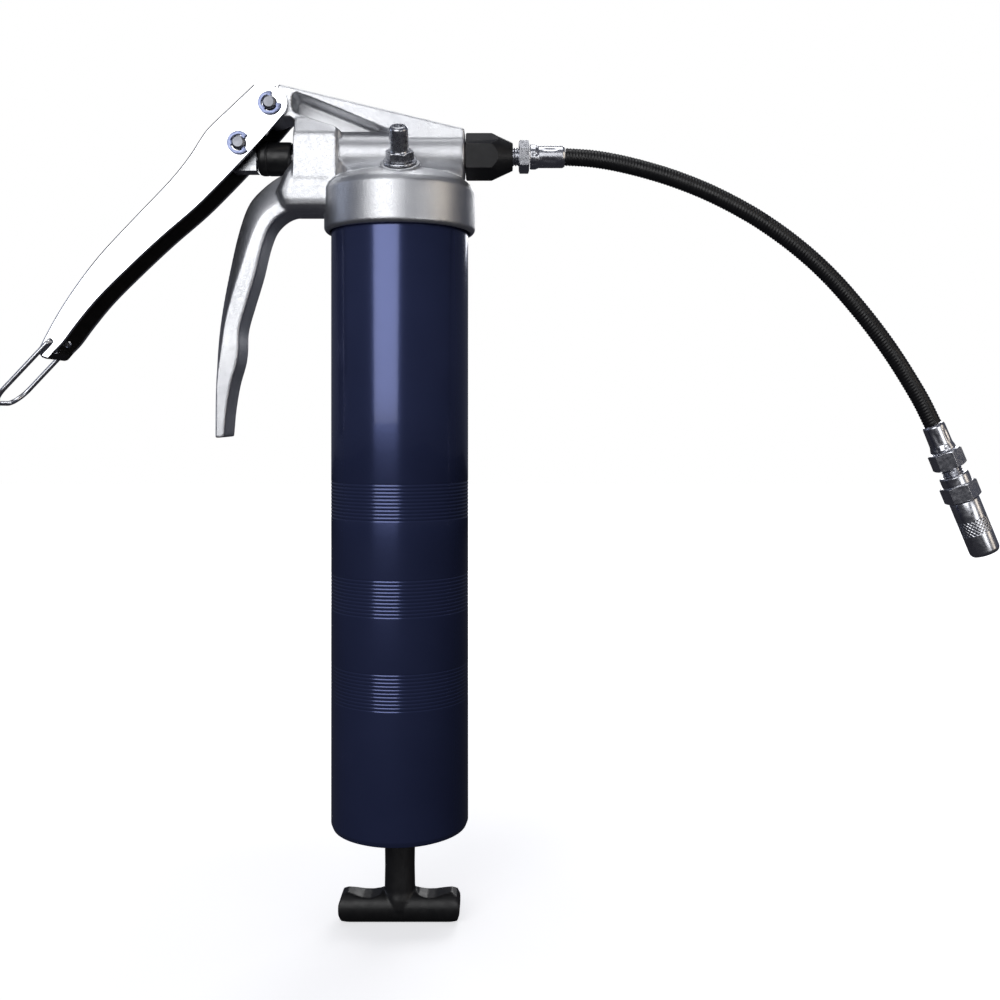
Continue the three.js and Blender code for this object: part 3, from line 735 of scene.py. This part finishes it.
def lever_channel():
    """The room between the lever's flanges."""
    inside = beside(lever_back(), -LEVER_SHEET)[:-1]
    beyond = beside(through(LEVER_OPEN, 4), 6)[4:]
    outline = [
        (-44, 34), (-57.6, 34), *inside, (-144.6, -80.4), (-143.6, -82.4), (-141, -82.6),
        (-139, -86), *beyond, (-40, 12),
    ]
    bm = slab(outline, -CHANNEL_HALF, CHANNEL_HALF)
    return bent(bm, len(outline), range(2, len(inside)), 0.9, 3)


def make_lever():
    """The lever: a pressed channel with painted shade inside, and a tab folded over its pivot."""
    tab = [
        (-59.2, 27.1), (-58.2, 28.9), (-57, 29.8), (-50.3, 29.8), (-50.3, 27.4), (-56.4, 27.4),
        (-57.6, 25.5),
    ]
    lever = combine(thing(lever_block()), [lever_channel()], "DIFFERENCE")
    combine(lever, [slab(tab, -8.5, 8.5)], "UNION")
    combine(lever, [
        across(PIN_R + 0.3, PIVOT, -20, 20), across(PIN_R + 0.3, PLUNGER_PIN, -20, 20),
        across(1.4, LOOP_HOLE, -20, 20, 24),
    ], "DIFFERENCE")
    edged(lever, 0.35, 3, 40)
    piece(lever, "lever_shell", LOOKS["lever_chrome"], "lever_arm", ["lever"],
          flat=True)
    paint_shade_inside(lever.data)


def paint_shade_inside(mesh):
    """Gives the lever's inner faces the dark look of painted shade; the mesh is in metres by now."""
    mesh.materials.append(lever_inside_painted_shade())
    half = CHANNEL_HALF / 1000
    tab_start = 0.012
    for face in mesh.polygons:
        middle, facing = face.center, face.normal
        inwards = middle.y * facing.y < 0 and abs(facing.y) > 0.3
        under = facing.x - facing.z > 0.5 and middle.x < tab_start
        on_flank = abs(middle.y) < half + 0.0007 and inwards
        on_web = abs(middle.y) < half + 0.0001 and under
        # Inward faces of the flanks and the web's underside get the painted shade.
        if on_flank or on_web:
            face.material_index = 1


def pin_shape():
    """A pin along Z with a head, and a groove for its clip."""
    start = CLIP_INNER - 2.3
    return turned([
        (0, start), (2.1, start), (PIN_R, start + 0.6), (PIN_R, start + 1.2), (2, start + 1.25),
        (2, start + 2.4), (PIN_R, start + 2.45), (PIN_R, 11.3), (4.3, 11.3), (4.3, 12.4),
        (3.7, 12.9), (0, 12.9),
    ], 64, 0.12)


def clip_shape():
    """An open spring ring with three prongs that grip the pin's groove."""
    opening = 42
    outline = arc((0, 0), 4.7, opening, 360 - opening, 40)
    for prong in (360 - opening - 9, 180, opening + 9):
        before = prong + 14
        outline += arc((0, 0), 3.4, outline_end(outline), before, 6)
        outline += arc((0, 0), 2.35, prong + 18, prong - 18, 4)
        outline.append(arc((0, 0), 3.4, prong - 14, prong - 14, 1)[0])
    outline += arc((0, 0), 3.4, outline_end(outline), opening, 2)
    return outline


def outline_end(outline):
    """The angle of the outline's last point, in degrees."""
    return math.degrees(math.atan2(outline[-1].y, outline[-1].x)) % 360


def make_clip(name, centre, turn, nodes):
    ring = thing(slab(spaced(clip_shape()), -0.4, 0.4))
    edged(ring, 0.13, 2, 40)
    place = at(centre[0], CLIP_INNER - 0.5, centre[1]) @ Matrix.Rotation(-math.radians(turn), 4, "Y")
    piece(ring, name, LOOKS["clip_steel"], "lever_arm", nodes, place)


def spaced(outline):
    """The outline without points that lie on their neighbours."""
    kept = []
    for point in outline:
        if not kept or (point - kept[-1]).length > 0.02:
            kept.append(point)
    return kept


def make_pins():
    for name, centre, turn in (("pivot", PIVOT, 38), ("plunger", PLUNGER_PIN, 0)):
        place = at(centre[0], 0, centre[1]) @ ALONG_Y
        piece(pin_shape(), name + "_pin_turned", LOOKS["pin_steel"], "lever_arm",
              [name + "_pin"], place)
        make_clip(name + "_clip_ring", centre, turn, [name + "_clip"])


def make_loop():
    """The wire loop, bent from one length, with its ends turned into the lever's holes."""
    half, reach = 12.4, 34.6
    far_bend, near_bend = 8.5, 1.6
    flat = [(0, -8), (0, -half), (reach, -half), (reach, half), (0, half), (0, 8)]
    corners = [Vector(p) for p in flat]
    line = [corners[0]]
    for i, corner in enumerate(corners[1:-1], 1):
        radius = far_bend if corner.x else near_bend
        back = (corners[i - 1] - corner).normalized() * radius
        ahead = (corners[i + 1] - corner).normalized() * radius
        for k in range(17):
            a = math.radians(90 * k / 16)
            line.append(corner + back * (1 - math.sin(a)) + ahead * (1 - math.cos(a)))
    line.append(corners[-1])
    shape = sweep([(p.x, p.y, 0) for p in line], 1, 20, (0, 0, 1))
    place = at(LOOP_HOLE[0], 0, LOOP_HOLE[1]) @ Matrix.Rotation(-LOOP_ANGLE, 4, "Y")
    piece(shape, "lock_loop_wire", LOOKS["zinc_plate"], "lock_loop", ["lock_loop"],
          place)


# ---- barrel and follower ----
GROOVE_TOPS = (-210.5, -173.5, -135.5)
GROOVES = 11
GROOVE_PITCH = 1.43
GROOVE_DEPTH = 0.12


def barrel_profile():
    """Half the barrel's section, with its three bands of fine grooves."""
    floor = BARREL_R - GROOVE_DEPTH
    outer = [(20, BARREL_BOTTOM), (25.9, BARREL_BOTTOM), (27.7, -278.7), (BARREL_R, -276.7)]
    for top in GROOVE_TOPS:
        for i in reversed(range(GROOVES)):
            groove = top - GROOVE_PITCH * i
            outer += [
                (BARREL_R, groove - 0.4), (floor, groove - 0.1), (floor, groove + 0.1),
                (BARREL_R, groove + 0.4),
            ]
    inner = BARREL_R - BARREL_WALL
    return [
        *outer, (BARREL_R, BARREL_TOP), (inner, BARREL_TOP), (inner, -277), (inner - 1.4, -278),
        (20, -278),
    ]


def make_barrel():
    shape = turned(barrel_profile(), 160, 0.2)
    piece(shape, "barrel_shell", LOOKS["blue_paint"], "barrel", ["barrel_tube"],
          sharp=30)
    cap = turned([
        (4.6, -279.3), (19.6, -279.3), (19.6, -277.7), (24.9, -277.7), (26.7, -276.3),
        (26.7, -275.1), (9, -275.1), (9, -276.3), (4.6, -276.3),
    ], 96, 0.25)
    piece(cap, "barrel_cap", LOOKS["blue_paint"], "barrel", ["barrel_end_cap"])


def handle_outline():
    """The T-handle's bar from the front, with a shallow dip on each side of its stem."""
    top, bottom, end = -306.2, -318.9, 25.1
    right = [
        (6.2, top + 1.4), (8.2, top - 0.9), (11.5, top - 1.75), (15, top - 1.6), (18.6, top - 0.7),
        (21.8, top), (24, top - 1.4), (end, top - 4.4), (end, bottom + 4.6), (24.2, bottom + 1.2),
        (21, bottom),
    ]
    left = [(-x, z) for x, z in reversed(right)]
    return right + left


def make_handle():
    handle = thing(slab(handle_outline(), -8, 8))
    combine(handle, [moved(bar(6.9, -40, 40, 64), ALONG_X, at(0, 0, -312.55))], "INTERSECT")
    stem = turned([
        (0, -313), (7.2, -313), (7, -308.5), (6.4, -306), (6.2, -296), (6.4, -280.1), (0, -280.1),
    ], 64, 0.6)
    combine(handle, [stem], "UNION")
    combine(handle, [bar(4.3, -311.2, -279)], "DIFFERENCE")
    cast(handle, 0.4, 6)
    piece(handle, "t_handle_grip", LOOKS["black_plastic"], "rod", ["t_handle"],
          sharp=180)


# ---- bleeder, outlet and hose fittings ----
def plated(shape, name, node, place, body="head", sharp=38, flat=False):
    """A zinc-plated piece that stands in for one CAD node."""
    return piece(shape, name, LOOKS["zinc_plate"], body, [node], place, sharp, flat)


def make_bleeder():
    body = hexagon(10, 1.3, 4.9, 38, 0.5)
    stem = turned([(0, 4), (4.4, 4), (3.8, 5.2), (3.8, 14), (2.9, 14.9), (0, 14.9)], 64, 0.3)
    combine(body, [stem, bar(4, -8, 1.6)], "UNION")
    combine(body, [bar(1.7, 5, 16), bar(2.8, -9, 9)], "DIFFERENCE")
    plated(body, "bleeder_hex", "bleeder_body", BLEEDER, flat=True)
    washer = turned([(4.3, 0.3), (6.9, 0.3), (6.9, 1), (4.3, 1)], 64, 0.2)
    plated(washer, "bleeder_seat_washer", "bleeder_washer", BLEEDER)


def make_outlet():
    """The black outlet nut: a hexagon whose outer end is turned to a cone."""
    start, end = 27.6, 47.2
    nut = prism(17, start, end + 12.8, 22)
    cone = turned([
        (0, start), (9.2, start), (10.4, start + 0.7), (10.4, 37), (5.75, end), (0, end),
    ], 96, 0.3)
    combine(nut, [cone], "INTERSECT")
    combine(nut, [bar(4.7, 22, 30)], "UNION")
    combine(nut, [bar(2.2, 20, 42), bar(4.1, 38, 50)], "DIFFERENCE")
    edged(nut, 0.3, 3, 20)
    piece(nut, "outlet_nut_black", LOOKS["black_finish"], "head", ["outlet_nut"],
          ALONG_X, flat=True)


def stretch(start, end, density):
    """Evenly spaced heights from start to end, about that many per millimetre."""
    count = round((end - start) * density)
    return [start + (end - start) * i / count for i in range(count + 1)]


def threaded(radius, start, end):
    """A threaded stub about Z: a fine helical ridge on a round bar."""
    pitch, depth = 1.1, 0.22
    return rippled(
        lambda a, z: radius - depth + depth * math.cos(2 * math.pi * z / pitch - a),
        stretch(start, end, 8), 48,
    )


def crimped(profile, dimples):
    """A turned ferrule with rings of shallow dimples, each with its centre, length, count and
    depth."""
    def radius(a, z):
        i = next(k for k in range(len(profile) - 1) if z <= profile[k + 1][1] + 1e-6)
        (r0, z0), (r1, z1) = profile[i], profile[i + 1]
        plain = r0 + (r1 - r0) * (z - z0) / max(z1 - z0, 1e-6)
        dip = 0
        for centre, length, count, depth in dimples:
            window = max(0, 1 - ((z - centre) / length) ** 2)
            dip += depth * window * max(0, math.cos(count * a)) ** 2
        return plain - dip

    return rippled(radius, stretch(profile[0][1], profile[-1][1], 6), 72)


def make_hose_fittings():
    nipple = hexagon(12, 49.7, 54, 20, 0.6)
    combine(nipple, [threaded(3.8, 39, 50.4)], "UNION")
    combine(nipple, [bar(1.6, 38, 56)], "DIFFERENCE")
    near = plated(nipple, "hose_nipple_hex", "hose_nipple", ALONG_X, flat=True)
    sleeve = crimped(
        [(4.9, 54.3), (5.2, 54.7), (5.2, 56.6), (4.6, 58), (4.6, 67.9), (4.1, 68.8)],
        [(56, 1.6, 8, 0.35), (62.6, 3.6, 6, 0.28)],
    )
    return [near, plated(sleeve, "hose_ferrule_crimped", "hose_ferrule", ALONG_X)]


SLEEVE_R = 6.2
KNURL_START = 42.6
KNURL_END = 48.8
KNURL_LINES = 22


def knurl(a, z):
    """Radius of the coupler sleeve: smooth, with a band of crossed grooves."""
    if not KNURL_START <= z <= KNURL_END:
        return SLEEVE_R
    slant = (z - KNURL_START) * 1.75
    left = abs(math.sin(KNURL_LINES * a / 2 + slant))
    right = abs(math.sin(KNURL_LINES * a / 2 - slant))
    return SLEEVE_R - 0.3 * (1 - min(left, right)) ** 2


def make_sleeve():
    """The sleeve; where the profile gives no radius, the knurl does."""
    sides = 220
    turns = [2 * math.pi * i / sides for i in range(sides)]
    outer = [(5.7, 34.2), (6.05, 34.35), (SLEEVE_R, 34.7)]
    outer += [(None, 42.3 + 0.12 * i) for i in range(57)]
    outer += [(SLEEVE_R, 56.4), (6.1, 57), (5.75, 57.7), (5.3, 58.15), (4.8, 58.3)]
    inner = [(4.2, 58.2), (4.1, 57.9), (4.1, 56.8), (4.9, 52.4), (4.9, 34.4), (5.1, 34.2)]
    rings = []
    for radius, z in outer + inner:
        reach = [radius or knurl(a, z) for a in turns]
        rings.append([(r * math.cos(a), r * math.sin(a), z) for r, a in zip(reach, turns)])
    shape = loft(rings, looped=True)
    return plated(shape, "coupler_sleeve_knurled", "coupler_sleeve", COUPLER, "coupler_sleeve", 50)


def make_coupler():
    """What hangs on the hose's far end, listed from the hose outwards."""
    ferrule = crimped(
        [(4.1, 0.3), (4.5, 0.9), (4.6, 1.2), (4.7, 9), (5.2, 11), (5.2, 11.6), (4.9, 12)],
        [(5.6, 3.6, 6, 0.28), (10.8, 1.3, 8, 0.3)],
    )
    end = plated(ferrule, "end_ferrule_crimped", "end_ferrule", COUPLER)
    nipple = hexagon(12.2, 12.3, 19.5, 5.73)
    combine(nipple, [threaded(4.2, 19, 27)], "UNION")
    combine(nipple, [bar(1.6, 11, 28)], "DIFFERENCE")
    middle = plated(nipple, "end_nipple_hex", "end_nipple", COUPLER, flat=True)
    body = hexagon(13.4, 26.9, 33.9, 8.59)
    collar = turned([(0, 22.7), (5.5, 22.7), (6.1, 23.3), (6.1, 27.2), (0, 27.2)], 96, 0.2)
    spigot = bar(4.6, 33, 46.4, 64)
    combine(body, [collar, spigot], "UNION")
    combine(body, [bar(4.5, 22, 27.6), bar(1.6, 26, 32), bar(3.1, 31, 47)], "DIFFERENCE")
    last = plated(body, "coupler_body_hex", "coupler_body", COUPLER, flat=True)
    return [end, middle, last, make_sleeve()]


def make_boot():
    """The rubber boot round the plunger, with a lip and two shallow rings."""
    left, right = -58.6, -44.8
    profile = [
        (4.1, left), (5.9, left), (6.6, left + 0.5), (7, left + 1.6), (7, left + 3.4),
        (6.75, left + 3.9), (7, left + 4.4), (7, right - 1.4), (6.9, right - 0.6), (6.6, right),
        (6.2, right), (6.2, left + 1.6), (4.1, left + 1.6),
    ]
    place = at(0, 0, PLUNGER_Z) @ ALONG_X
    piece(turned(profile, 96, 0.3), "plunger_boot_moulded", LOOKS["black_rubber"], "plunger",
          ["plunger_boot"], place)


# ---- what keeps its CAD mesh ----
def dress_cad_nodes():
    for part in frame["record"]["subparts"]:
        node = frame["nodes"][part["node"]]
        node.data.materials.clear()
        node.data.materials.append(LOOKS[part["material_slot"]])


# ---- light and floor ----
def panel(name, place, target, width, height, power, colour=(1, 1, 1), only=()):
    """A soft light; only limits it to those pieces."""
    data = bpy.data.lights.new(name, "AREA")
    data.shape = "RECTANGLE"
    data.size = width
    data.size_y = height
    data.energy = power
    data.color = colour
    light = bpy.data.objects.new(name, data)
    light.location = place
    light.rotation_euler = (Vector(target) - Vector(place)).to_track_quat("-Z", "Y").to_euler()
    bpy.context.scene.collection.objects.link(light)
    if only:
        lit = bpy.data.collections.new(name + "_lights")
        for obj in only:
            lit.objects.link(obj)
        light.light_linking.receiver_collection = lit


def make_lights():
    """Soft lights; those from the sides and on the fittings leave the barrel dark."""
    middle = (0.05, 0, 0.02)
    metal = [
        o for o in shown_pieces()
        if not o.name.startswith("barrel_shell") and "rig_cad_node" not in o
    ]
    end_of_hose = (0.3, 0, -0.06)
    panel("key", (-0.36, -1.30, 0.40), middle, 1.05, 0.95, 8.0)
    panel("top", (0.1, 0.0, 1.5), middle, 0.9, 0.9, 6)
    panel("right", (1.3, -0.5, 0.3), middle, 0.3, 1.0, 1.6, (1.0, 0.88, 0.72), metal)
    panel("left", (-1.4, 0.2, 0.3), middle, 0.3, 1.0, 1.6, (0.72, 0.8, 1.0), metal)
    panel("fittings", (0.62, -0.7, -0.1), end_of_hose, 0.28, 0.5, 1.1, (1, 1, 1), metal)
    panel("back", (0.5, 1.5, 0.7), middle, 0.8, 0.8, 6)


def unlike(tree, reflected, seen, output):
    """Sends one shader to reflections and another straight to the eye."""
    path = tree.nodes.new("ShaderNodeLightPath")
    mix = tree.nodes.new("ShaderNodeMixShader")
    tree.links.new(path.outputs["Is Camera Ray"], mix.inputs["Fac"])
    tree.links.new(reflected, mix.inputs[1])
    tree.links.new(seen, mix.inputs[2])
    tree.links.new(mix.outputs["Shader"], output.inputs["Surface"])


def make_world():
    """Bright to the eye behind the gun, dim in its reflections, as in a dark studio."""
    world = bpy.data.worlds.new("studio")
    world.use_nodes = True
    tree = world.node_tree
    background = tree.nodes["Background"]
    background.inputs["Color"].default_value = (0.07, 0.075, 0.095, 1)
    bright = tree.nodes.new("ShaderNodeBackground")
    bright.inputs["Color"].default_value = (1, 1, 1, 1)
    unlike(
        tree, background.outputs["Background"], bright.outputs["Background"],
        tree.nodes["World Output"],
    )
    bpy.context.scene.world = world


def floor_paper_painted_glow():
    """Pale paper with a painted glow that brightens away from the gun, and stays dim in the gun's
    reflections.
    """
    look = Look("floor_paper_painted_glow", (0.9, 0.9, 0.9), 0.95)
    look.shader.inputs["Specular IOR Level"].default_value = 0.0
    look.colour(look.pattern(6, 2), (0.86, 0.86, 0.87), (0.90, 0.90, 0.91))
    tree = look.tree
    reach = tree.nodes.new("ShaderNodeVectorMath")
    reach.operation = "LENGTH"
    tree.links.new(look.place, reach.inputs[0])
    # Painted glow: the floor gives off its own light, from grey near the gun to white far away.
    far = look.ramp(reach.outputs["Value"], (0.62, 0.62, 0.63), (1, 1, 1), 0.1, 0.8)
    glow = tree.nodes.new("ShaderNodeEmission")
    tree.links.new(far, glow.inputs["Color"])
    spread = tree.nodes.new("ShaderNodeAddShader")
    tree.links.new(look.shader.outputs["BSDF"], spread.inputs[0])
    tree.links.new(glow.outputs["Emission"], spread.inputs[1])
    dim = tree.nodes.new("ShaderNodeBsdfDiffuse")
    dim.inputs["Color"].default_value = (0.06, 0.06, 0.07, 1)
    unlike(tree, dim.outputs["BSDF"], spread.outputs["Shader"], tree.nodes["Material Output"])
    return look.material


def make_floor():
    """Paper just under the T-handle."""
    bm = bmesh.new()
    bmesh.ops.create_grid(bm, x_segments=1, y_segments=1, size=3)
    floor = thing(bm, "floor")
    floor.location = (0.05, 0, -0.2392)
    floor.data.materials.append(floor_paper_painted_glow())


make_camera()
hose = make_hose()
fittings = [*make_hose_fittings(), *make_coupler()]
make_casting()
make_lever()
make_pins()
make_loop()
make_barrel()
make_handle()
make_bleeder()
make_outlet()
make_boot()
dress_cad_nodes()
make_lights()
make_world()
make_floor()
bpy.context.scene.view_settings.view_transform = "Standard"
